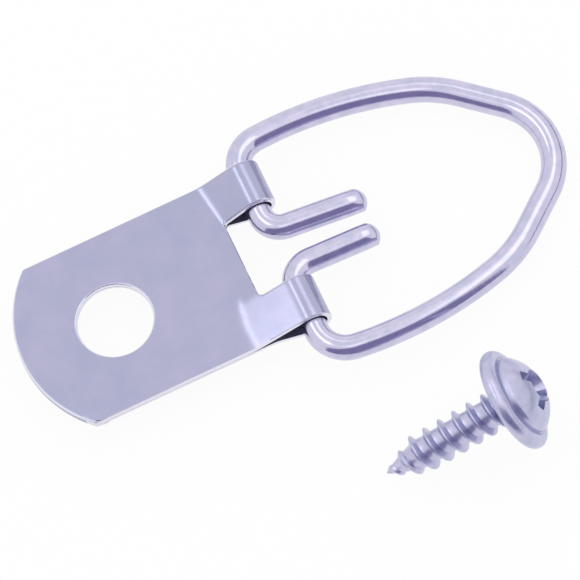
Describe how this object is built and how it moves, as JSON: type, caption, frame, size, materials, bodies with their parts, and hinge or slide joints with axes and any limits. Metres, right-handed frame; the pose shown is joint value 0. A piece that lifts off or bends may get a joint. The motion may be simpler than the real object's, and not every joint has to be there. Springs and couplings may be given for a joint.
{
  "type": "strap hanger",
  "caption": "Folded sheet-steel strap with a screw hole and a swinging open wire ring for hanging a picture or mirror, with its washer-head screw.",
  "frame": {"origin": "centre of the screw hole on the strap's back face", "axes": "+X from the screw hole to the ring, +Z out of the strap's front face, away from the wall"},
  "size_m": [0.0582, 0.0463, 0.0125],
  "materials": {
    "zinc_sheet": "bright zinc-plated sheet steel, rolled edges, faint grain",
    "zinc_wire": "bright zinc-plated drawn wire with faint draw marks",
    "zinc_screw": "bright zinc-plated screw, tumbled"
  },
  "bodies": {
    "strap": {"strap": "zinc_sheet"},
    "ring": {"wire_ring": "zinc_wire"},
    "screw": {"screw": "zinc_screw"}
  },
  "joints": [
    {"name": "ring_pivot", "type": "hinge", "parent": "strap", "child": "ring", "pos_m": [0.0176, 0, 0.00052], "axis": [0, -1, 0], "range_deg": [-145, 154]},
    {"name": "screw_lift", "type": "slide", "parent": "strap", "child": "screw", "axis": [0, 0, 1], "range_m": [0, 0.03]}
  ]
}
